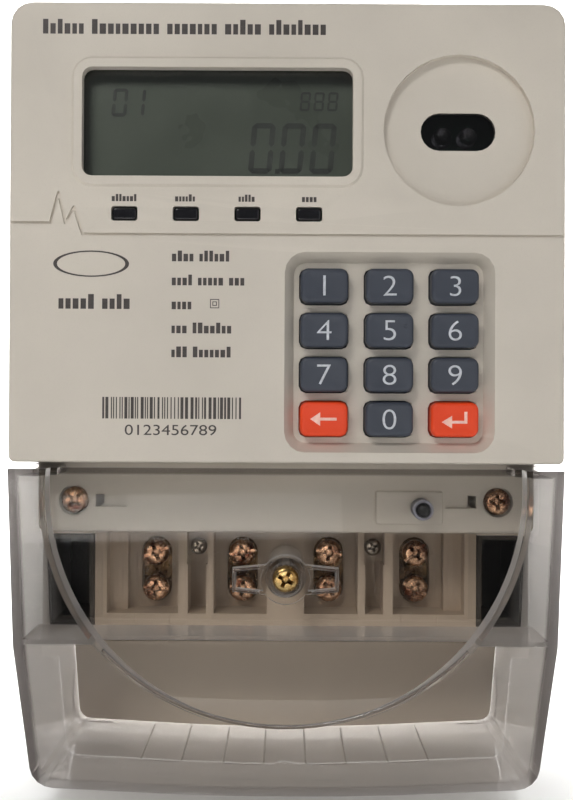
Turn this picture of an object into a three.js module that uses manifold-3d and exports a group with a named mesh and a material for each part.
// A wall-mounted prepaid electricity meter: a base and a front housing with a display, an optical
// port and a keypad, over a terminal block behind a clear cover.
// Millimetres. X runs to the right, Y into the wall and Z up. The origin is on the wall side of
// the base casing, and the front face looks along -Y.

import * as THREE from "three";
import { mergeVertices } from "three/addons/utils/BufferGeometryUtils.js";
import Module from "manifold-3d";

const wasm = await Module();
wasm.setup();

// Overall sizes
const WIDTH = 139.5;
const HOUSING_TOP = 99.75;
const FACE_BOTTOM = -15.9;
const DEPTH = 68;
const BASE_DEPTH = 33;
const WALL = 2.4;
const GAP = 0.3;
const FACE_CORNER = 5.5;
const FACE_EDGE = 1.1;
const GASKET = 0.9;
const GASKET_GAP = 0.1;

// Ledge with the case screws, below the face
const LEDGE_HEIGHT = 19.7;
const LEDGE_SETBACK = 20;
const LEDGE_INSET = 3.3;
const CASE_SCREW_INSET = 13;
const CASE_SCREW_DROP = 11.2;
const CASE_HEAD_RADIUS = 3.6;
const CASE_SHAFT_RADIUS = 1.8;
const CASE_SCREW_BITE = 9.3;
const CASE_HEAD = 2.2;
const CASE_HEAD_SINK = 0.3;
const CASE_WELL_DEPTH = 2.8;
const WELL_GAP = 0.5;
const CASE_BOSS_RADIUS = 5.6;
const POST_STEP = 1;
const CLIP_REACH = 14.1;
const CLIP_HOLE = 2.1;
const CLIP_GAP = 5.8;
const CLIP_HEIGHT = 3.4;
const CLIP_DEPTH = 1.4;
const POCKET_GAP = 6.4;
const POCKET_WIDTH = 2.8;
const POCKET_DEPTH = 1.6;
const TAMPER_X = 36;
const TAMPER_DROP = 12.8;
const PLUNGER_RADIUS = 1.65;
const BOOT_RADIUS = 2.45;
const BOOT_LENGTH = 12.5;
const BOOT_REACH = 6.5;
const BOOT_FLANGE = 1.4;
const PLUNGER_TRAVEL = 1.5;
const PLUNGER_FIT = 0.25;
const SWITCH_WIDTH = 12;
const SWITCH_HEIGHT = 6;
const SWITCH_DEPTH = 4.2;
const STUB_RADIUS = 1.2;
const LABEL_LEFT = 12;
const LABEL_RIGHT = 5.9;
const LABEL_HEIGHT = 8.8;
const LABEL_RISE = 0.7;

// Zigzag groove, with each turn's step to the right and its height above the left end
const GROOVE_DROP = 55.7;
const GROOVE_WIDTH = 0.7;
const GROOVE_DEPTH = 0.6;
const GROOVE_START = 10.4;
const GROOVE_TURNS = [[2, 7.6], [1.8, 0], [2.1, 4], [2.2, -2.8]];

// Display
const LCD_LEFT = 18.25;
const LCD_DROP = 16.65;
const LCD_WIDTH = 67.8;
const LCD_HEIGHT = 27.25;
const LCD_CORNER = 2.5;
const BEAD = 2.7;
const BEAD_RISE = 0.6;
const PANE = 1.2;
const PANEL = 2.6;
const LAP = 1.5;

// Optical port
const PORT_INSET = 26.85;
const PORT_DROP = 32;
const PORT_RADIUS = 19;
const PORT_DEPTH = 2;
const EYE_WIDTH = 18.9;
const EYE_HEIGHT = 9.5;
const EYE_SINK = 0.5;
const EYE_LAP = 1.2;
const DIODE_RADIUS = 2.5;
const DIODE_SPACING = 6.4;

// Indicator windows
const LAMP_COUNT = 4;
const LAMP_PITCH = 15.42;
const LAMP_LEFT = 10.65;
const LAMP_DROP = 53.25;
const LAMP_WIDTH = 6;
const LAMP_HEIGHT = 3.1;

// Keypad
const KEYPAD_INSET = 44;
const KEYPAD_RISE = 27.9;
const KEYPAD_WIDTH = 48.1;
const KEYPAD_HEIGHT = 45.6;
const KEYPAD_DEPTH = 4;
const KEYPAD_SLOPE = 2.3;
const KEY_WIDTH = 12;
const KEY_HEIGHT = 8.7;
const KEY_EDGE = 0.8;
const KEY_CORNER = 1.8;
const KEY_PITCH_X = 16.4;
const KEY_PITCH_Z = 11.15;
const KEY_SKIRT = 0.6;
const KEY_TRAVEL = 1;
const KEY_FOOT = 0.4;
const MAT = 1.2;

// Main board
const BOARD_SETBACK = 11.5;
const BOARD = 1.6;
const BOARD_MARGIN = 4;

// Parts behind the board
const PART_INSET = 30;
const PART_DROP = 26;
const CORE_WIDTH = 36;
const CORE_HEIGHT = 30;
const CORE_DEPTH = 18;
const CORE_LIFT = 3;
const WINDING_INSET = 5.5;
const CAN_RADIUS = 6;
const CAN_LENGTH = 20;
const CELL_RADIUS = 7.2;
const CELL_LENGTH = 25;
const CELL_BUTTON = 3;

// Terminal block
const BLOCK_WIDTH = 107;
const BLOCK_DROP = 48.2;
const BLOCK_TOP_DROP = 8.5;
const BLOCK_LIP = 4;
const LIP_MARK = 5;
const MARK = 0.3;
const BLOCK_SHOULDER = 3;
const BLOCK_NECK = 2.65;
const BAY_TOP_DROP = 21;
const BAY_DEPTH = 11;
const TERMINAL_PITCH = 24.9;
const BAY_WIDTH = 15;
const BAY_SHIFT = 0.3;
const OUTER_DEPTH = 6;
const OUTER_STEP = 5.4;
const LINK_SLOT = 5.8;
const TERMINAL_RISE = 9.8;
const TERMINAL_SPACING = 10.3;
const TERMINAL_HEAD_RADIUS = 3.75;
const TERMINAL_HEAD = 2.6;
const TERMINAL_SHAFT_RADIUS = 2.5;
const LINK_HEAD_RADIUS = 2.4;
const LINK_RISE = 22.1;
const LINK_SINK = 5;
const LINK_HEAD = 2;
const LINK_SHAFT_RADIUS = 1.5;
const LINK_LENGTH = 9;
const LINK_SEAT = 4.3;
const LINK_NARROWING = 0.35;
const TERMINAL_SINK = 7;
const TERMINAL_BITE = 3;
const CAGE_WIDTH = 11;
const CAGE_DEPTH = 13;
const CAGE_BACKING = 1.3;
const CAGE_LENGTH = 21;
const WIRE_RADIUS = 4;
const BUSBAR_WIDTH = 6;
const BUSBAR = 1.5;
const BUSBAR_SETBACK = 2.5;
const RELAY_RISE = 8;
const RELAY_HEIGHT = 30;
const RELAY_MARGIN = 5;
const RELAY_FRONT = 18;
const RELAY_DEPTH = 22;
const RELAY_GRIP = 3;
const SENSOR_RADIUS = 9;
const SENSOR_BORE = 4.2;
const SENSOR_LENGTH = 9;
const SENSOR_CLEARANCE = 5;

// Clear terminal cover
const COVER_WALL = 2;
const COVER_TOP_DROP = 1.6;
const COVER_WAIST = 1.65;
const COVER_TAPER = 2.8;
const COVER_REACH = 38.7;
const COVER_ARCH = 2.4;
const COVER_CORNER = 6;
const CREASE_RISE = 2.35;
const SHELF_DEPTH = 21;
const SHELF = 1.2;
const ARC_RADIUS = 60.3;
const ARC_DROP = 5.25;
const ARC_STEP = 5.5;
const BOSS_RADIUS = 6.3;
const COVER_HEAD_RADIUS = 3.4;
const COVER_SHAFT_RADIUS = 2;
const COVER_HEAD = 2.6;
const COVER_HEAD_SINK = 1;
const COVER_SCREW_RISE = 18.5;
const COVER_SCREW_BITE = 12;
const WING_REACH = 13.5;
const WING_HEIGHT = 7.8;
const WING_RIB = 0.9;
const WING_RISE = 1.8;

// Score lines of the cable knock-outs in the cover
const SCORE_DEPTH = 0.4;
const SCORE_WIDTH = 0.6;
const KNOCKOUT_WIDTH = 11.7;
const KNOCKOUT_REACH = 38;
const KNOCKOUT_PITCH = 22.8;
const KNOCKOUT_CORNER = 1.5;
const SIDE_KNOCKOUT_RADIUS = 9;
const SIDE_KNOCKOUT_RISE = 11.5;
const ARC_SIDES = 120;

// Wall side
const HANGER_WIDTH = 16;
const HANGER_LENGTH = 22;
const HANGER = 1.5;
const HANGER_HOLE = 2.6;
const SEAL_WALL = 1.2;
const FIXING_SLOT = 6;
const FIXING_LENGTH = 10;
const WELL_DROP = 2.2;

// Places worked out from the sizes
const SIDE = WIDTH / 2;
const FRONT = -DEPTH;
const SEAM = -BASE_DEPTH;
const HOUSING_RIM = SEAM - GASKET - 2 * GASKET_GAP;
const LEDGE_FRONT = FRONT + LEDGE_SETBACK;
const LEDGE_BOTTOM = FACE_BOTTOM - LEDGE_HEIGHT;
const LEDGE_SIDE = SIDE - LEDGE_INSET;
const BLOCK_BOTTOM = FACE_BOTTOM - BLOCK_DROP;
const BLOCK_TOP = FACE_BOTTOM - BLOCK_TOP_DROP;
const BLOCK_SIDE = BLOCK_WIDTH / 2;
const BLOCK_BACK = -WALL - GAP;
const BAY_BOTTOM = BLOCK_BOTTOM + BLOCK_LIP;
const BAY_TOP = FACE_BOTTOM - BAY_TOP_DROP;
const BAY_FLOOR = SEAM + BAY_DEPTH;
const BASE_BOTTOM = BLOCK_BOTTOM - GAP - WALL;
const TERMINALS = [-1.5, -0.5, 0.5, 1.5].map((step) => step * TERMINAL_PITCH);
const LOW_SCREW = BLOCK_BOTTOM + TERMINAL_RISE;
const HIGH_SCREW = LOW_SCREW + TERMINAL_SPACING;
const CAGE_FRONT = BLOCK_BACK - CAGE_BACKING - CAGE_DEPTH;
const CAGE_BOTTOM = BLOCK_BOTTOM + BLOCK_LIP;
const WIRE_Y = CAGE_FRONT + CAGE_DEPTH / 2;
const LINK_X = TERMINAL_PITCH;
const LINK_Z = BLOCK_BOTTOM + LINK_RISE;
const LINK_FRONT = SEAM + LINK_SINK;
const COVER_TOP = FACE_BOTTOM - COVER_TOP_DROP;
const CREASE = BLOCK_BOTTOM + CREASE_RISE;
const COVER_LOW = BLOCK_BOTTOM - COVER_REACH;
const COVER_BACK = -0.5;
const ARC_Z = COVER_TOP - ARC_DROP;
const COVER_SLOPE = ARC_STEP / (CREASE - (ARC_Z - ARC_RADIUS));
const COVER_SCREW_Z = BLOCK_BOTTOM + COVER_SCREW_RISE;
const CASE_SCREW_X = SIDE - CASE_SCREW_INSET;
const CASE_SCREW_Z = FACE_BOTTOM - CASE_SCREW_DROP;
const TAMPER_Z = FACE_BOTTOM - TAMPER_DROP;
const LCD_X0 = -SIDE + LCD_LEFT;
const LCD_X1 = LCD_X0 + LCD_WIDTH;
const LCD_Z1 = HOUSING_TOP - LCD_DROP;
const LCD_Z0 = LCD_Z1 - LCD_HEIGHT;
const PORT_X = SIDE - PORT_INSET;
const PORT_Z = HOUSING_TOP - PORT_DROP;
const LAMP_Z = HOUSING_TOP - LAMP_DROP;
const KEYPAD_X = SIDE - KEYPAD_INSET;
const KEYPAD_Z = FACE_BOTTOM + KEYPAD_RISE;
const BOARD_FRONT = FRONT + BOARD_SETBACK;
const BOARD_BACK = BOARD_FRONT + BOARD;
const KEY_STOP = FRONT + KEYPAD_DEPTH + WALL;

// Materials
function finish(color, roughness, metalness, opacity = 1) {
  return new THREE.MeshStandardMaterial({ color, roughness, metalness, opacity, transparent: opacity < 1 });
}
const beige = () => finish(0xcbc3b8, 0.55, 0);
const clear = () => finish(0xb4aea8, 0.08, 0, 0.35);
const smokedLens = () => finish(0x16171b, 0.12, 0);
const displayGlass = () => finish(0x535851, 0.2, 0);
const slateKey = () => finish(0x3e424b, 0.5, 0);
const orangeKey = () => finish(0xdb440f, 0.45, 0);
const bronze = () => finish(0x8a6242, 0.35, 1);
const gold = () => finish(0xb89a5c, 0.3, 1);
const steel = () => finish(0x9a9488, 0.35, 1);
const brass = () => finish(0xb08d4a, 0.35, 1);
const copper = () => finish(0xb06a45, 0.35, 1);
const blackRubber = () => finish(0x14110d, 0.8, 0);
const greyRubber = () => finish(0x6e686a, 0.6, 0);
const whiteSilicone = () => finish(0xd8d6d0, 0.7, 0);
const boardGreen = () => finish(0x1f5a3a, 0.5, 0);
const blackPlastic = () => finish(0x1b1c1f, 0.45, 0);
const blueSleeve = () => finish(0x2b4f86, 0.4, 0);

// A closed geometry as a solid that can be cut and joined.
function solid(geometry) {
  geometry.deleteAttribute("normal");
  geometry.deleteAttribute("uv");
  const merged = mergeVertices(geometry, 1e-4);
  const index = merged.index.array;
  const corners = [];
  for (let i = 0; i < index.length; i += 3) {
    const [a, b, c] = [index[i], index[i + 1], index[i + 2]];
    if (a !== b && b !== c && c !== a) {
      corners.push(a, b, c);
    }
  }
  const vertProperties = new Float32Array(merged.attributes.position.array);
  return new wasm.Manifold(new wasm.Mesh({ numProp: 3, vertProperties, triVerts: new Uint32Array(corners) }));
}

// A finished solid as a geometry with flat faces.
function faceted(body) {
  const { vertProperties, triVerts } = body.getMesh();
  const geometry = new THREE.BufferGeometry();
  geometry.setAttribute("position", new THREE.BufferAttribute(vertProperties, 3));
  geometry.setIndex(new THREE.BufferAttribute(triVerts, 1));
  return geometry;
}

// A shape through corners [u, v, radius], each rounded by an arc of its own radius.
function outline(corners, steps = 4) {
  const points = [];
  corners.forEach(([u, v, radius = 0], i) => {
    const corner = new THREE.Vector2(u, v);
    if (radius === 0) {
      points.push(corner);
      return;
    }
    const before = new THREE.Vector2(...corners.at(i - 1)).sub(corner).normalize();
    const after = new THREE.Vector2(...corners[(i + 1) % corners.length]).sub(corner).normalize();
    const half = Math.acos(before.dot(after)) / 2;
    const inward = before.clone().add(after).normalize();
    const centre = corner.clone().addScaledVector(inward, radius / Math.sin(half));
    const start = corner.clone().addScaledVector(before, radius / Math.tan(half)).sub(centre).angle();
    const end = corner.clone().addScaledVector(after, radius / Math.tan(half)).sub(centre).angle();
    const turn = Math.atan2(Math.sin(end - start), Math.cos(end - start));
    for (let k = 0; k <= steps; k += 1) {
      const angle = start + (turn * k) / steps;
      points.push(new THREE.Vector2(Math.cos(angle), Math.sin(angle)).multiplyScalar(radius).add(centre));
    }
  });
  return new THREE.Shape(points);
}

function rectangle(u0, u1, v0, v1, low = 0, high = low, steps = 4) {
  return outline([[u0, v0, low], [u1, v0, low], [u1, v1, high], [u0, v1, high]], steps);
}

function disc(u, v, radius, sides = 16) {
  const points = [];
  for (let k = 0; k < sides; k += 1) {
    const angle = (2 * Math.PI * k) / sides;
    points.push(new THREE.Vector2(u + radius * Math.cos(angle), v + radius * Math.sin(angle)));
  }
  return new THREE.Shape(points);
}

// Solids from a shape pushed along one axis. Along Y the shape lies in X and Z, along X in Y and Z.
function alongY(shape, front, back) {
  const geometry = new THREE.ExtrudeGeometry(shape, { depth: back - front, bevelEnabled: false });
  return solid(geometry.rotateX(Math.PI / 2).translate(0, back, 0));
}

function alongX(shape, left, right) {
  const axes = [new THREE.Vector3(0, 1, 0), new THREE.Vector3(0, 0, 1), new THREE.Vector3(1, 0, 0)];
  const geometry = new THREE.ExtrudeGeometry(shape, { depth: right - left, bevelEnabled: false });
  return solid(geometry.applyMatrix4(new THREE.Matrix4().makeBasis(...axes)).translate(left, 0, 0));
}

function alongZ(shape, bottom, top) {
  const geometry = new THREE.ExtrudeGeometry(shape, { depth: top - bottom, bevelEnabled: false });
  return solid(geometry.translate(0, 0, bottom));
}

// The same along Y, with both ends rounded over.
function softAlongY(shape, front, back, edge, steps = 2) {
  const bevel = { bevelSize: edge, bevelThickness: edge, bevelOffset: -edge, bevelSegments: steps };
  const geometry = new THREE.ExtrudeGeometry(shape, { depth: back - front - 2 * edge, ...bevel });
  return solid(geometry.rotateX(Math.PI / 2).translate(0, back - edge, 0));
}

function box(x0, x1, y0, y1, z0, z1) {
  const geometry = new THREE.BoxGeometry(x1 - x0, y1 - y0, z1 - z0);
  return solid(geometry.translate((x0 + x1) / 2, (y0 + y1) / 2, (z0 + z1) / 2));
}

function rod(radius, front, back, x = 0, z = 0, sides = 16) {
  return alongY(disc(x, z, radius, sides), front, back);
}

// A solid turned about Y from points [radius, y] that start and end on the axis, front first.
function turned(profile, sides = 16) {
  return solid(new THREE.LatheGeometry(profile.map(([radius, y]) => new THREE.Vector2(radius, y)), sides));
}

function joined(...bodies) {
  return bodies.reduce((whole, body) => whole.add(body));
}

const meter = new THREE.Group();

function place(name, body, material, x = 0, y = 0, z = 0) {
  const mesh = new THREE.Mesh(faceted(body), material);
  mesh.name = name;
  mesh.position.set(x, y, z);
  meter.add(mesh);
}

// A screw whose head starts at y 0, with a cross recess and, where asked, a slot across the head.
function screw(head, headHeight, shaft, length, slotted, sides = 12) {
  const crown = headHeight * 0.35;
  const profile = [[0, 0], [head * 0.6, crown * 0.3], [head, crown * 1.4]];
  const shank = [[head, headHeight], [shaft, headHeight], [shaft, length]];
  const arm = head * 0.56;
  const recess = head * 0.17;
  const deep = headHeight * 0.6;
  let body = turned([...profile, ...shank, [0, length]], sides);
  body = body.subtract(box(-arm, arm, -1, deep, -recess, recess));
  body = body.subtract(box(-recess, recess, -1, deep, -arm, arm));
  if (slotted) {
    body = body.subtract(box(-head - 1, head + 1, -1, headHeight * 0.5, -recess * 0.8, recess * 0.8));
  }
  return body;
}

// Zigzag groove in the face, of even width along its whole course
function faceGroove() {
  const z = HOUSING_TOP - GROOVE_DROP;
  const route = [[-SIDE - 1, z], [-SIDE + GROOVE_START, z]];
  for (const [step, rise] of GROOVE_TURNS) {
    route.push([route.at(-1)[0] + step, z + rise]);
  }
  route.push([SIDE + 1, route.at(-1)[1]]);
  const back = FRONT + GROOVE_DEPTH;
  const half = GROOVE_WIDTH / 2;
  const parts = [];
  for (let k = 1; k < route.length; k += 1) {
    const [x0, z0] = route[k - 1];
    const [x1, z1] = route[k];
    const length = Math.hypot(x1 - x0, z1 - z0);
    const [across, up] = [((z0 - z1) / length) * half, ((x1 - x0) / length) * half];
    const near = [[x0 - across, z0 - up], [x1 - across, z1 - up]];
    const sides = [...near, [x1 + across, z1 + up], [x0 + across, z0 + up]];
    parts.push(alongY(outline(sides), FRONT - 1, back));
    parts.push(rod(half, FRONT - 1, back, x1, z1, 8));
  }
  return joined(...parts);
}

function lcdOpening(grow, corner) {
  const spread = [LCD_X0 - grow, LCD_X1 + grow, LCD_Z0 - grow, LCD_Z1 + grow];
  return rectangle(...spread, corner);
}

function eyeShape(grow) {
  const [halfWidth, halfHeight] = [EYE_WIDTH / 2 + grow, EYE_HEIGHT / 2 + grow];
  const span = [PORT_X - halfWidth, PORT_X + halfWidth, PORT_Z - halfHeight, PORT_Z + halfHeight];
  return rectangle(...span, halfHeight - 0.01, halfHeight - 0.01, 5);
}

function lampPlace(k) {
  return LCD_X0 + LAMP_LEFT + k * LAMP_PITCH;
}

function lampShape(k, grow) {
  const [halfWidth, halfHeight] = [LAMP_WIDTH / 2 + grow, LAMP_HEIGHT / 2 + grow];
  const x = lampPlace(k);
  return rectangle(x - halfWidth, x + halfWidth, LAMP_Z - halfHeight, LAMP_Z + halfHeight, 0.7, 0.7, 3);
}

// The twelve key places, as [x, z] from the top left
function keyPlaces() {
  const places = [];
  for (let row = 0; row < 4; row += 1) {
    for (let column = 0; column < 3; column += 1) {
      places.push([KEYPAD_X + (column - 1) * KEY_PITCH_X, KEYPAD_Z + (1.5 - row) * KEY_PITCH_Z]);
    }
  }
  return places;
}

function keypadDish() {
  const [halfWidth, halfHeight] = [KEYPAD_WIDTH / 2, KEYPAD_HEIGHT / 2];
  const span = [KEYPAD_X - halfWidth, KEYPAD_X + halfWidth, KEYPAD_Z - halfHeight, KEYPAD_Z + halfHeight];
  const bevel = { bevelSize: KEYPAD_SLOPE, bevelThickness: KEYPAD_DEPTH, bevelSegments: 1 };
  const geometry = new THREE.ExtrudeGeometry(rectangle(...span, 3), { depth: 5, ...bevel });
  return solid(geometry.rotateX(Math.PI / 2).translate(0, FRONT, 0));
}

// Front housing: the face with its walls, and the ledge below it
function housingShell() {
  const face = rectangle(-SIDE, SIDE, FACE_BOTTOM, HOUSING_TOP, 1.6, FACE_CORNER);
  const ledge = rectangle(-LEDGE_SIDE, LEDGE_SIDE, LEDGE_BOTTOM, FACE_BOTTOM + 1, 2, 0);
  const inner = WALL;
  const hollowFace = [-SIDE + inner, SIDE - inner, FACE_BOTTOM + inner, HOUSING_TOP - inner];
  const ledgeInside = LEDGE_SIDE - inner;
  const hollowLedge = [-ledgeInside, ledgeInside, LEDGE_BOTTOM + inner, FACE_BOTTOM + 2 * inner];
  return joined(
    softAlongY(face, FRONT, FRONT + 4 * FACE_EDGE, FACE_EDGE),
    alongY(face, FRONT + 2 * FACE_EDGE, HOUSING_RIM),
    softAlongY(ledge, LEDGE_FRONT, LEDGE_FRONT + 6, FACE_EDGE),
    alongY(ledge, LEDGE_FRONT + 2, HOUSING_RIM),
  )
    .subtract(alongY(rectangle(...hollowFace, 0.5, FACE_CORNER - inner), FRONT + inner, HOUSING_RIM + 1))
    .subtract(alongY(rectangle(...hollowLedge, 0.5), LEDGE_FRONT + inner, HOUSING_RIM + 1));
}

function frontHousing() {
  let body = housingShell();
  const padReach = KEYPAD_SLOPE + WALL;
  const [halfWidth, halfHeight] = [KEYPAD_WIDTH / 2 + padReach, KEYPAD_HEIGHT / 2 + padReach];
  const keyPad = [KEYPAD_X - halfWidth, KEYPAD_X + halfWidth, KEYPAD_Z - halfHeight, KEYPAD_Z + halfHeight];
  body = body.add(alongY(rectangle(...keyPad, 4), FRONT + 1, KEY_STOP));
  body = body.add(rod(PORT_RADIUS + WALL, FRONT + 1, FRONT + PORT_DEPTH + WALL, PORT_X, PORT_Z, 32));
  const bead = lcdOpening(BEAD, LCD_CORNER + BEAD);
  body = body.add(softAlongY(bead, FRONT - BEAD_RISE, FRONT + 1.5, BEAD_RISE, 1));
  for (const side of [-1, 1]) {
    body = body.add(rod(CASE_BOSS_RADIUS, LEDGE_FRONT + 1, HOUSING_RIM, side * CASE_SCREW_X, CASE_SCREW_Z));
    for (const z of [FACE_BOTTOM + 10, HOUSING_TOP - 12]) {
      body = body.add(rod(2.5, FRONT + 1, BOARD_FRONT - GAP, side * (SIDE - 8), z, 16));
    }
  }
  const [plateLow, plateHigh] = [TAMPER_Z - LABEL_HEIGHT / 2, TAMPER_Z + LABEL_HEIGHT / 2];
  const plate = rectangle(TAMPER_X - LABEL_LEFT, TAMPER_X + LABEL_RIGHT, plateLow, plateHigh, 0.4, 0.4, 2);
  body = body.add(softAlongY(plate, LEDGE_FRONT - LABEL_RISE, LEDGE_FRONT + 1, 0.2, 1));
  body = body.subtract(faceGroove());
  body = body.subtract(alongY(lcdOpening(0, LCD_CORNER), FRONT - 2, FRONT + 2 * WALL));
  body = body.subtract(rod(PORT_RADIUS, FRONT - 1, FRONT + PORT_DEPTH, PORT_X, PORT_Z, 32));
  body = body.subtract(alongY(eyeShape(0), FRONT - 1, FRONT + PORT_DEPTH + WALL + 1));
  for (let k = 0; k < LAMP_COUNT; k += 1) {
    body = body.subtract(alongY(lampShape(k, GAP), FRONT - 1, FRONT + WALL + 1));
  }
  body = body.subtract(keypadDish());
  const [keyWide, keyTall] = [KEY_WIDTH / 2 + GAP, KEY_HEIGHT / 2 + GAP];
  for (const [x, z] of keyPlaces()) {
    const hole = rectangle(x - keyWide, x + keyWide, z - keyTall, z + keyTall, KEY_CORNER, KEY_CORNER, 2);
    body = body.subtract(alongY(hole, FRONT + 1, KEY_STOP + 1));
  }
  for (const side of [-1, 1]) {
    body = body.subtract(ledgeCuts(side));
  }
  return body.subtract(rod(BOOT_RADIUS + GAP, LEDGE_FRONT - 2, LEDGE_FRONT + WALL + 1, TAMPER_X, TAMPER_Z));
}

// Screw well, clip slot and edge pocket at one end of the ledge
function ledgeCuts(side) {
  const [x, z] = [side * CASE_SCREW_X, CASE_SCREW_Z];
  const tall = CLIP_HEIGHT / 2;
  const front = LEDGE_FRONT - 1;
  const cut = (near, far, back) => {
    const [low, high] = side > 0 ? [x + near, x + far] : [x - far, x - near];
    return box(low, high, front, back, z - tall, z + tall);
  };
  return joined(
    rod(CASE_HEAD_RADIUS + WELL_GAP, front, LEDGE_FRONT + CASE_WELL_DEPTH, x, z),
    rod(CASE_SHAFT_RADIUS + GAP, front, HOUSING_RIM + 1, x, z, 16),
    cut(-CLIP_REACH, -CLIP_GAP, LEDGE_FRONT + CLIP_DEPTH),
    cut(-CLIP_GAP - CLIP_HOLE, -CLIP_GAP, LEDGE_FRONT + WALL + 1),
    cut(POCKET_GAP, POCKET_GAP + POCKET_WIDTH, LEDGE_FRONT + POCKET_DEPTH),
  );
}

// Base casing: the tray on the wall, with the long back plate below it
function baseCasing() {
  const outer = rectangle(-SIDE, SIDE, BASE_BOTTOM, HOUSING_TOP, 1, FACE_CORNER);
  const hollow = [-SIDE + WALL, SIDE - WALL, BASE_BOTTOM + WALL, HOUSING_TOP - WALL];
  let body = alongY(outer, SEAM, 0);
  body = body.subtract(alongY(rectangle(...hollow, 0.5, FACE_CORNER - WALL), SEAM - 1, -WALL));
  const plate = box(-SIDE, SIDE, -WALL, 0, COVER_LOW, BASE_BOTTOM + 1);
  body = body.add(plate.intersect(alongY(coverFace(COVER_WALL + GAP), -WALL - 1, 1)));
  for (const side of [-1, 1]) {
    body = body.add(baseWell(side)).add(casePost(side));
  }
  for (const x of TERMINALS) {
    const wire = disc(x, WIRE_Y, WIRE_RADIUS + 0.75);
    body = body.subtract(alongZ(wire, BASE_BOTTOM - 1, BASE_BOTTOM + WALL + 1));
  }
  const channel = HANGER_WIDTH / 2 + GAP;
  const pad = HANGER + 2 * GAP + WALL;
  const foot = HOUSING_TOP - HANGER_LENGTH - 2;
  body = body.add(box(-channel - WALL, channel + WALL, -pad, -1, foot - WALL, HOUSING_TOP - 1));
  body = body.subtract(box(-channel, channel, -pad + WALL, 1, foot, HOUSING_TOP + 1));
  for (const side of [-1, 1]) {
    const x = side * fixingX();
    const [low, high] = [fixingZ() - FIXING_LENGTH / 2, fixingZ() + FIXING_LENGTH / 2];
    const round = FIXING_SLOT / 2 - 0.1;
    const slot = rectangle(x - FIXING_SLOT / 2, x + FIXING_SLOT / 2, low, high, round, round);
    body = body.subtract(alongY(slot, -WALL - 1, 1));
  }
  return body;
}

function fixingX() {
  return (BLOCK_SIDE + SIDE - WALL) / 2;
}

function fixingZ() {
  return (wellTop() + BASE_BOTTOM + WALL) / 2;
}

function wellTop() {
  return LEDGE_BOTTOM - WELL_DROP;
}

// The wall over one lower fixing well
function baseWell(side) {
  const span = side > 0 ? [BLOCK_SIDE + GAP, SIDE - 1] : [1 - SIDE, -BLOCK_SIDE - GAP];
  return box(...span, SEAM, -1, wellTop(), wellTop() + WALL * 0.75);
}

function casePost(side) {
  const x = side * CASE_SCREW_X;
  const post = rod(CASE_BOSS_RADIUS - POST_STEP, SEAM, -1, x, CASE_SCREW_Z);
  const bore = SEAM + CASE_SCREW_BITE + 2;
  return post.subtract(rod(CASE_SHAFT_RADIUS + GAP, SEAM - 1, bore, x, CASE_SCREW_Z, 16));
}

// Rubber cup that lines one lower fixing well and closes its slot until a screw pierces it
function fixingSeal(side) {
  const [near, far] = [BLOCK_SIDE + GAP, SIDE - WALL - GAP];
  const [x0, x1] = side > 0 ? [near, far] : [-far, -near];
  const [z0, z1] = [BASE_BOTTOM + WALL + GAP, wellTop() - GAP];
  const floor = -WALL - GAP;
  const cup = box(x0, x1, SEAM + 0.5, floor, z0, z1);
  return cup.subtract(
    box(x0 + SEAL_WALL, x1 - SEAL_WALL, SEAM - 1, floor - SEAL_WALL, z0 + SEAL_WALL, z1 - SEAL_WALL),
  );
}

function housingGasket() {
  const bottom = LEDGE_BOTTOM + 0.2;
  const outer = rectangle(-LEDGE_SIDE, LEDGE_SIDE, bottom, HOUSING_TOP - 0.4, 1, FACE_CORNER - 1);
  const inner = [-LEDGE_SIDE + WALL, LEDGE_SIDE - WALL, bottom + 2, HOUSING_TOP - WALL];
  const [front, back] = [HOUSING_RIM + GASKET_GAP, SEAM - GASKET_GAP];
  let ring = alongY(outer, front, back).subtract(alongY(rectangle(...inner, 1), front - 1, back + 1));
  for (const side of [-1, 1]) {
    ring = ring.subtract(rod(CASE_BOSS_RADIUS + GAP, front - 1, back + 1, side * CASE_SCREW_X, CASE_SCREW_Z));
  }
  return ring;
}

function wallHanger() {
  const half = HANGER_WIDTH / 2;
  const hole = rod(HANGER_HOLE, -HANGER - 1, 1, 0, HANGER_LENGTH - 7, 20);
  return alongY(rectangle(-half, half, 0, HANGER_LENGTH, 1, 5), -HANGER, 0).subtract(hole);
}

// Display, from the window back
function displayParts() {
  const windowFront = FRONT + WALL + GAP;
  const panelFront = windowFront + PANE + GAP;
  const panelBack = panelFront + PANEL;
  place("lcd_window", alongY(lcdOpening(LAP, LCD_CORNER + LAP), windowFront, windowFront + PANE), clear());
  place("lcd_panel", alongY(lcdOpening(LAP / 2, 0.5), panelFront, panelBack), displayGlass());
  const holder = alongY(lcdOpening(LAP + 2, 2), panelFront, BOARD_FRONT - GAP)
    .subtract(alongY(lcdOpening(LAP / 2 + GAP, 0.5), panelFront - 1, panelBack + GAP))
    .subtract(alongY(lcdOpening(-3, 0.5), panelFront - 1, BOARD_FRONT + 1));
  place("lcd_holder", holder, blackPlastic());
}

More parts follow.
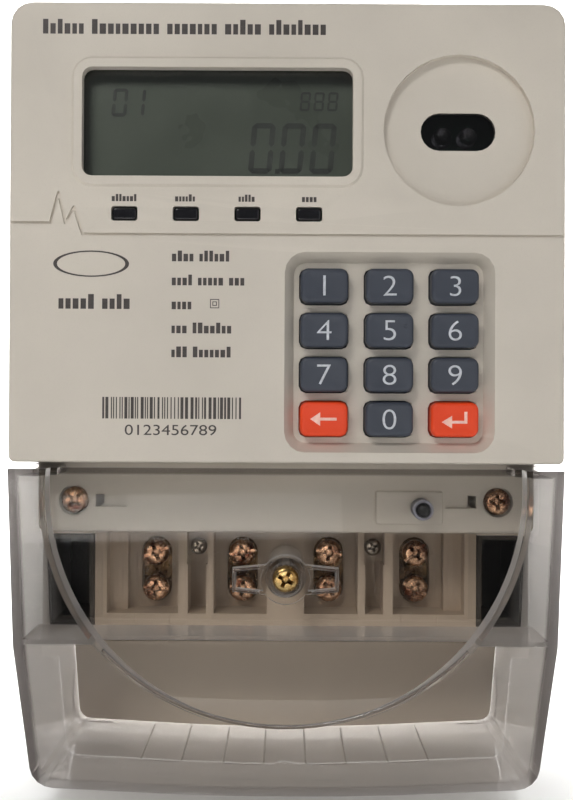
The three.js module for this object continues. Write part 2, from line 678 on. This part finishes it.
function opticalParts() {
  const front = FRONT + PORT_DEPTH + WALL + GAP;
  const plug = alongY(eyeShape(-GAP), FRONT + PORT_DEPTH + EYE_SINK, front + PANE);
  place("optical_window", plug.add(alongY(eyeShape(EYE_LAP), front, front + PANE)), smokedLens());
  const back = BOARD_FRONT - GAP;
  const tip = front + PANE + GAP;
  const dome = [[0, tip], [DIODE_RADIUS * 0.6, tip + 0.5], [DIODE_RADIUS * 0.92, tip + 1.5]];
  const barrel = [[DIODE_RADIUS, tip + 2.3], [DIODE_RADIUS, back], [0, back]];
  for (const [name, side] of [["ir_emitter", -1], ["ir_receiver", 1]]) {
    const x = PORT_X + (side * DIODE_SPACING) / 2;
    place(name, turned([...dome, ...barrel], 20), smokedLens(), x, 0, PORT_Z);
  }
}

function lampParts() {
  for (let k = 0; k < LAMP_COUNT; k += 1) {
    place(`lamp_window_${k + 1}`, alongY(lampShape(k, 0), FRONT + 0.3, BOARD_FRONT - GAP), smokedLens());
  }
}

function keyBody() {
  const [halfWidth, halfHeight] = [KEY_WIDTH / 2, KEY_HEIGHT / 2];
  const cap = rectangle(-halfWidth, halfWidth, -halfHeight, halfHeight, KEY_CORNER, KEY_CORNER, 2);
  const [skirtX, skirtZ] = [halfWidth + KEY_SKIRT, halfHeight + KEY_SKIRT];
  const skirt = [-skirtX, skirtX, -skirtZ, skirtZ];
  const stop = KEY_STOP - FRONT + GAP;
  const plunger = softAlongY(cap, 0, stop + KEY_EDGE + KEY_FOOT, KEY_EDGE, 2);
  return plunger.add(alongY(rectangle(...skirt, 1, 1, 1), stop, stop + 1));
}

function keypadParts() {
  const names = ["1", "2", "3", "4", "5", "6", "7", "8", "9", "back", "0", "enter"];
  const shape = keyBody();
  keyPlaces().forEach(([x, z], k) => {
    const material = names[k].length > 1 ? orangeKey() : slateKey();
    place(`key_${names[k]}`, shape, material, x, FRONT, z);
  });
  const domeFront = KEY_STOP + GAP + KEY_EDGE + KEY_FOOT + KEY_TRAVEL + GAP;
  const matBack = BOARD_FRONT - GAP;
  const [halfWidth, halfHeight] = [KEYPAD_WIDTH / 2, KEYPAD_HEIGHT / 2];
  const span = [KEYPAD_X - halfWidth, KEYPAD_X + halfWidth, KEYPAD_Z - halfHeight, KEYPAD_Z + halfHeight];
  let mat = alongY(rectangle(...span, 2), matBack - MAT, matBack);
  for (const [x, z] of keyPlaces()) {
    mat = mat.add(rod(3, domeFront, matBack - MAT / 2, x, z, 8));
  }
  place("keypad_mat", mat, whiteSilicone());
}

function electronics() {
  const edge = SIDE - WALL - BOARD_MARGIN;
  const [low, high] = [FACE_BOTTOM + WALL + 2, HOUSING_TOP - WALL - BOARD_MARGIN];
  place("main_board", alongY(rectangle(-edge, edge, low, high, 2), BOARD_FRONT, BOARD_BACK), boardGreen());
  const back = BOARD_BACK + GAP;
  const [coreX, coreZ] = [CORE_WIDTH / 2, CORE_HEIGHT / 2];
  const core = box(-coreX, coreX, CORE_LIFT, CORE_LIFT + CORE_DEPTH, -coreZ, coreZ);
  const [windingX, windingZ] = [coreX - WINDING_INSET, coreZ - WINDING_INSET];
  const winding = rectangle(-windingX, windingX, -windingZ, windingZ, 2);
  const transformer = core.add(softAlongY(winding, 0, CORE_DEPTH + 2 * CORE_LIFT, 1.5));
  place("supply_transformer", transformer, steel(), -SIDE + PART_INSET, back, HOUSING_TOP - PART_DROP);
  const canSide = [[CAN_RADIUS, 0], [CAN_RADIUS, CAN_LENGTH - 1], [CAN_RADIUS - 0.8, CAN_LENGTH]];
  const can = [[0, 0], ...canSide, [0, CAN_LENGTH]];
  place("filter_capacitor", turned(can, 20), blueSleeve(), 0, back, HOUSING_TOP - PART_DROP);
  const [cellY, cellEnd] = [CELL_RADIUS + GAP, CELL_LENGTH / 2];
  const cell = alongX(disc(cellY, 0, CELL_RADIUS), -cellEnd, cellEnd);
  const button = alongX(disc(cellY, 0, CELL_BUTTON), -cellEnd - 1.5, 0);
  place("backup_battery", cell.add(button), blueSleeve(), SIDE - PART_INSET, back, HOUSING_TOP - PART_DROP);
}

// Power path behind the terminals, from left to right: live in, live out, neutral in, neutral out
function powerPath() {
  const barY = CAGE_FRONT + BUSBAR_SETBACK;
  const top = FACE_BOTTOM + 2;
  const foot = CAGE_BOTTOM + CAGE_LENGTH + GAP;
  const half = BUSBAR_WIDTH / 2;
  const [liveIn, liveOut, neutralIn, neutralOut] = TERMINALS;
  const upright = (x, high) => box(x - half, x + half, barY, barY + BUSBAR, foot, high);
  const relayFoot = top + RELAY_RISE;
  const barTop = relayFoot + RELAY_GRIP;
  const relayTop = relayFoot + RELAY_HEIGHT;
  const relayShape = rectangle(liveIn - RELAY_MARGIN, liveOut + RELAY_MARGIN, relayFoot, relayTop, 1);
  let relay = softAlongY(relayShape, barY - RELAY_FRONT, barY - RELAY_FRONT + RELAY_DEPTH, 0.6, 1);
  for (const x of [liveIn, liveOut]) {
    const slot = [x - half - GAP, x + half + GAP, barY - GAP, barY + BUSBAR + GAP];
    relay = relay.subtract(box(...slot, top, barTop + 1));
  }
  place("latching_relay", relay, blackPlastic());
  place("current_shunt_bar", upright(liveIn, barTop), copper());
  place("live_out_bar", upright(liveOut, barTop), copper());
  const bridgeFoot = top + SENSOR_LENGTH + SENSOR_CLEARANCE;
  const bridgeTop = bridgeFoot + BUSBAR_WIDTH;
  const bridge = box(neutralIn - half, neutralOut + half, barY, barY + BUSBAR, bridgeFoot, bridgeTop);
  const legs = [neutralIn, neutralOut].map((x) => upright(x, bridgeFoot + 1));
  place("neutral_bar", joined(...legs, bridge), copper());
  const ring = alongZ(disc(neutralOut, barY + BUSBAR / 2, SENSOR_RADIUS), top - 1, top - 1 + SENSOR_LENGTH);
  const eye = alongZ(disc(neutralOut, barY + BUSBAR / 2, SENSOR_BORE), top - 2, top + SENSOR_LENGTH);
  place("current_transformer", ring.subtract(eye), blackPlastic());
}

// Terminal block with its bays, link slots and the pockets that hold the cages
function terminalBlock() {
  const shoulder = BLOCK_SIDE - BLOCK_NECK;
  let body = box(-BLOCK_SIDE, BLOCK_SIDE, SEAM, BLOCK_BACK, BLOCK_BOTTOM, BAY_TOP + BLOCK_SHOULDER);
  body = body.add(box(-shoulder, shoulder, SEAM, BLOCK_BACK, BAY_TOP, BLOCK_TOP));
  const front = SEAM - 1;
  const halfBay = BAY_WIDTH / 2;
  TERMINALS.forEach((x, k) => {
    const shift = Math.sign(x) * BAY_SHIFT;
    const [bayLeft, bayRight] = [x - halfBay + shift, x + halfBay + shift];
    body = body.subtract(box(bayLeft, bayRight, front, BAY_FLOOR, BAY_BOTTOM, BAY_TOP));
    if (k === 0 || k === 3) {
      const outward = Math.sign(x);
      const from = x + outward * halfBay * 0.9;
      const to = x + outward * (halfBay + OUTER_STEP);
      const [left, right] = [Math.min(from, to), Math.max(from, to)];
      body = body.subtract(box(left, right, front, SEAM + OUTER_DEPTH, BAY_BOTTOM, BAY_TOP));
    }
    const well = TERMINAL_HEAD_RADIUS + WELL_GAP + 0.1;
    const round = well - 0.01;
    const stadium = rectangle(x - well, x + well, LOW_SCREW - well, HIGH_SCREW + well, round, round, 4);
    body = body.subtract(alongY(stadium, front, CAGE_FRONT));
    const pocket = CAGE_WIDTH / 2 + GAP;
    const cell = [x - pocket, x + pocket, CAGE_FRONT - GAP, BLOCK_BACK + 1, CAGE_BOTTOM - GAP, BLOCK_TOP + 1];
    body = body.subtract(box(...cell));
    body = body.subtract(alongZ(disc(x, WIRE_Y, WIRE_RADIUS + 0.5), BLOCK_BOTTOM - 1, CAGE_BOTTOM + 1));
    for (const edge of [-LIP_MARK, LIP_MARK]) {
      const [left, right] = [x + edge - MARK / 2, x + edge + MARK / 2];
      body = body.subtract(box(left, right, front, SEAM + MARK, BLOCK_BOTTOM - 1, BAY_BOTTOM));
    }
  });
  body = body.subtract(switchSpace(GAP, LEDGE_FRONT));
  for (const side of [-1, 1]) {
    const clearance = CASE_BOSS_RADIUS - POST_STEP + GAP;
    body = body.subtract(rod(clearance, front, 0, side * CASE_SCREW_X, CASE_SCREW_Z));
    const x = side * LINK_X;
    const [wide, slim] = [LINK_SLOT / 2, LINK_SLOT / 2 - LINK_NARROWING];
    const foot = LINK_Z - LINK_SEAT;
    body = body.subtract(box(x - wide, x + wide, front, LINK_FRONT + LINK_HEAD + 0.5, foot, BAY_TOP));
    body = body.subtract(box(x - slim, x + slim, front, BAY_FLOOR, BAY_BOTTOM, foot + 0.1));
    body = body.subtract(rod(LINK_SHAFT_RADIUS + GAP, front, LINK_FRONT + LINK_LENGTH + 1, x, LINK_Z, 16));
  }
  const reach = SEAM + COVER_SCREW_BITE + 2;
  return body.subtract(rod(COVER_SHAFT_RADIUS + GAP, front, reach, 0, COVER_SCREW_Z, 16));
}

function terminalParts() {
  place("terminal_block", terminalBlock(), beige());
  const half = CAGE_WIDTH / 2;
  const names = ["live_in", "live_out", "neutral_in", "neutral_out"];
  TERMINALS.forEach((x, k) => {
    let cage = box(-half, half, CAGE_FRONT, CAGE_FRONT + CAGE_DEPTH, 0, CAGE_LENGTH);
    cage = cage.subtract(alongZ(disc(0, WIRE_Y, WIRE_RADIUS), -1, CAGE_LENGTH - 2));
    for (const z of [LOW_SCREW, HIGH_SCREW]) {
      cage = cage.subtract(rod(TERMINAL_SHAFT_RADIUS + GAP, CAGE_FRONT - 1, WIRE_Y, 0, z - CAGE_BOTTOM, 16));
    }
    place(`cage_${names[k]}`, cage, brass(), x, 0, CAGE_BOTTOM);
    const headFront = SEAM + TERMINAL_SINK;
    const reach = CAGE_FRONT + TERMINAL_BITE - headFront;
    const body = screw(TERMINAL_HEAD_RADIUS, TERMINAL_HEAD, TERMINAL_SHAFT_RADIUS, reach, true);
    place(`screw_${names[k]}_high`, body, bronze(), x, headFront, HIGH_SCREW);
    place(`screw_${names[k]}_low`, body, bronze(), x, headFront, LOW_SCREW);
  });
  const link = screw(LINK_HEAD_RADIUS, LINK_HEAD, LINK_SHAFT_RADIUS, LINK_LENGTH, false);
  place("link_screw_left", link, steel(), -LINK_X, LINK_FRONT, LINK_Z);
  place("link_screw_right", link, steel(), LINK_X, LINK_FRONT, LINK_Z);
}

// Half width of the cover at the top, at the crease and at the foot
function coverSides() {
  return [SIDE, SIDE - COVER_WAIST, SIDE - COVER_WAIST - COVER_TAPER];
}

// Front view of the cover, inset evenly for its hollow
function coverFace(inset) {
  const [top, waist, foot] = coverSides().map((half) => half - inset);
  const low = COVER_LOW + COVER_ARCH + inset;
  const dip = [];
  const steps = 8;
  const span = foot - COVER_CORNER;
  for (let k = 1; k < steps; k += 1) {
    const across = -1 + (2 * k) / steps;
    dip.push([span * across, low - COVER_ARCH * (1 - across * across)]);
  }
  const corner = COVER_CORNER - inset;
  const left = [[-top, COVER_TOP - inset], [-waist, CREASE], [-foot, low, corner]];
  const right = [[foot, low, corner], [waist, CREASE], [top, COVER_TOP - inset]];
  return outline([...left, ...dip, ...right]);
}

// Side view of the cover: upright to the crease, sloping back below it, stepped round the base
function coverProfile(inset) {
  const foot = COVER_LOW - 1;
  const slopeAt = (z) => FRONT + COVER_SLOPE * (CREASE - z);
  const back = inset > 0 ? 1 : 0;
  return outline([
    [FRONT + inset, COVER_TOP + 1],
    [FRONT + inset, CREASE],
    [slopeAt(foot) + inset, foot],
    [COVER_BACK + back, foot],
    [COVER_BACK + back, BASE_BOTTOM - GAP + back * 2],
    [SEAM - GAP + back, BASE_BOTTOM - GAP + back * 2],
    [SEAM - GAP + back, COVER_TOP + 1],
  ]);
}

function coverSolid(inset) {
  return alongX(coverProfile(inset), -SIDE, SIDE).intersect(alongY(coverFace(inset), FRONT - 1, 2));
}

function terminalCover() {
  const inside = SIDE - COVER_WALL;
  const arcFloor = FRONT + ARC_STEP;
  const recess = rod(ARC_RADIUS, FRONT - 1, arcFloor, 0, ARC_Z, ARC_SIDES);
  const behind = rod(ARC_RADIUS + COVER_WALL, FRONT - 1, arcFloor + COVER_WALL, 0, ARC_Z, ARC_SIDES);
  let body = coverSolid(0).subtract(recess).subtract(coverSolid(COVER_WALL).subtract(behind));
  body = body.subtract(knockoutScores());
  const mouth = ARC_RADIUS - 1.5;
  const mouthFoot = COVER_TOP - COVER_WALL - 1;
  body = body.subtract(box(-mouth, mouth, arcFloor + COVER_WALL, SEAM, mouthFoot, COVER_TOP + 1));
  body = body.subtract(box(-inside, inside, LEDGE_FRONT - 0.6, SEAM, mouthFoot, COVER_TOP + 1));
  const shelf = box(-inside, inside, FRONT, FRONT + SHELF_DEPTH, CREASE, CREASE + SHELF);
  body = body.add(shelf.intersect(coverSolid(COVER_WALL / 2)).subtract(recess));
  for (const side of [-1, 1]) {
    body = body.add(coverWing(side));
  }
  body = body.add(rod(BOSS_RADIUS, arcFloor - 2, arcFloor + COVER_WALL, 0, COVER_SCREW_Z, 32));
  body = body.add(rod(BOSS_RADIUS - 1.2, arcFloor, SEAM - GAP, 0, COVER_SCREW_Z, 32));
  const seat = arcFloor + COVER_HEAD_SINK + 0.5;
  body = body.subtract(rod(COVER_HEAD_RADIUS + 0.8, arcFloor - 3, seat, 0, COVER_SCREW_Z, 32));
  return body.subtract(rod(COVER_SHAFT_RADIUS + GAP, FRONT, SEAM, 0, COVER_SCREW_Z, 16));
}

// Score lines round the cable knock-outs, cut into the outside of the foot and the sides
function knockoutScores() {
  const skin = coverSolid(0).subtract(coverSolid(SCORE_DEPTH));
  const outside = KNOCKOUT_WIDTH / 2;
  const inside = outside - SCORE_WIDTH;
  const front = COVER_BACK - KNOCKOUT_REACH;
  const top = COVER_LOW + COVER_ARCH + COVER_CORNER;
  const parts = [];
  for (const step of [-1.5, -0.5, 0.5, 1.5]) {
    const x = step * KNOCKOUT_PITCH;
    const outer = rectangle(x - outside, x + outside, front, 1, KNOCKOUT_CORNER, 0);
    const inner = rectangle(x - inside, x + inside, front + SCORE_WIDTH, 2, KNOCKOUT_CORNER - SCORE_WIDTH, 0);
    const score = alongZ(outer, COVER_LOW - 1, top).subtract(alongZ(inner, COVER_LOW - 2, top + 1));
    parts.push(score.intersect(skin));
  }
  const z = COVER_LOW + SIDE_KNOCKOUT_RISE;
  const arc = (radius, reach) => alongX(disc(COVER_BACK, z, radius, 32), -SIDE - reach, SIDE + reach);
  const ring = arc(SIDE_KNOCKOUT_RADIUS, 1).subtract(arc(SIDE_KNOCKOUT_RADIUS - SCORE_WIDTH, 2));
  const middle = coverSides().at(-1) - COVER_CORNER;
  parts.push(ring.subtract(box(-middle, middle, FRONT, 1, COVER_LOW, COVER_TOP)).intersect(skin));
  return joined(...parts);
}

// Hollow rib that reaches out from one side of the screw boss
function coverWing(side) {
  const [near, far] = [side * 4, side * WING_REACH];
  const arcFloor = FRONT + ARC_STEP;
  const wing = (inset) => {
    const [root, tip] = [WING_HEIGHT / 2 - inset, WING_HEIGHT / 2 - WING_RIB - inset];
    const end = far - side * inset;
    const z = COVER_SCREW_Z;
    const loop = [[near, z - root], [end, z - tip], [end, z + tip], [near, z + root]];
    return outline(side > 0 ? loop : loop.reverse());
  };
  const rib = alongY(wing(0), arcFloor - WING_RISE, arcFloor + 1);
  return rib.subtract(alongY(wing(WING_RIB), arcFloor - WING_RISE - 1, arcFloor + 2));
}

function fasteners() {
  const caseHeadFront = LEDGE_FRONT + CASE_HEAD_SINK;
  const caseLength = SEAM + CASE_SCREW_BITE - caseHeadFront;
  const caseScrew = screw(CASE_HEAD_RADIUS, CASE_HEAD, CASE_SHAFT_RADIUS, caseLength, false);
  for (const [name, side] of [["case_screw_left", -1], ["case_screw_right", 1]]) {
    place(name, caseScrew, bronze(), side * CASE_SCREW_X, caseHeadFront, CASE_SCREW_Z);
  }
  const headFront = FRONT + ARC_STEP + COVER_HEAD_SINK - COVER_HEAD;
  const length = SEAM + COVER_SCREW_BITE - headFront;
  const body = screw(COVER_HEAD_RADIUS, COVER_HEAD, COVER_SHAFT_RADIUS, length, false);
  place("cover_screw", body, gold(), 0, headFront, COVER_SCREW_Z);
}

// Cover-open sensing: a plunger in a rubber boot, in front of its switch
function bootFront() {
  return LEDGE_FRONT - BOOT_REACH;
}

function plungerTail() {
  return bootFront() + BOOT_LENGTH + 1;
}

function switchFront() {
  return plungerTail() + PLUNGER_TRAVEL + GAP + 1;
}

function switchSpace(grow, front) {
  const [halfWidth, halfHeight] = [SWITCH_WIDTH / 2 + grow, SWITCH_HEIGHT / 2 + grow];
  const span = [TAMPER_X - halfWidth, TAMPER_X + halfWidth];
  const back = switchFront() + SWITCH_DEPTH + grow;
  return box(...span, front, back, TAMPER_Z - halfHeight, TAMPER_Z + halfHeight);
}

function tamperParts() {
  const front = bootFront();
  const back = front + BOOT_LENGTH;
  const bore = PLUNGER_RADIUS + PLUNGER_FIT;
  const flangeFront = LEDGE_FRONT + WALL + GAP;
  const flange = rod(BOOT_RADIUS + BOOT_FLANGE, flangeFront, flangeFront + BOOT_FLANGE, 0, 0, 20);
  const sleeve = rod(BOOT_RADIUS, front, back, 0, 0, 20).add(flange);
  const boot = sleeve.subtract(rod(bore, front - 1, back + 1, 0, 0, 20));
  place("tamper_boot", boot, greyRubber(), TAMPER_X, 0, TAMPER_Z);
  const tip = front - PLUNGER_TRAVEL - 0.2;
  const tail = plungerTail();
  const nose = [[0, tip], [PLUNGER_RADIUS * 0.8, tip + 0.2], [PLUNGER_RADIUS, tip + 0.7]];
  const plunger = turned([...nose, [PLUNGER_RADIUS, tail], [0, tail]], 20);
  place("tamper_plunger", plunger, blackPlastic(), TAMPER_X, 0, TAMPER_Z);
  const body = switchFront();
  const stub = rod(STUB_RADIUS, body - 1, body + 1, TAMPER_X, TAMPER_Z, 12);
  place("tamper_switch", stub.add(switchSpace(0, body)), blackPlastic());
}

place("base_casing", baseCasing(), beige());
place("front_housing", frontHousing(), beige());
place("housing_gasket", housingGasket(), blackRubber());
place("wall_hanger", wallHanger(), beige(), 0, -GAP, HOUSING_TOP - HANGER_LENGTH - 1);
displayParts();
opticalParts();
lampParts();
keypadParts();
electronics();
powerPath();
terminalParts();
tamperParts();
fasteners();
place("fixing_seal_left", fixingSeal(-1), blackRubber());
place("fixing_seal_right", fixingSeal(1), blackRubber());
place("terminal_cover", terminalCover(), clear());

export default meter;
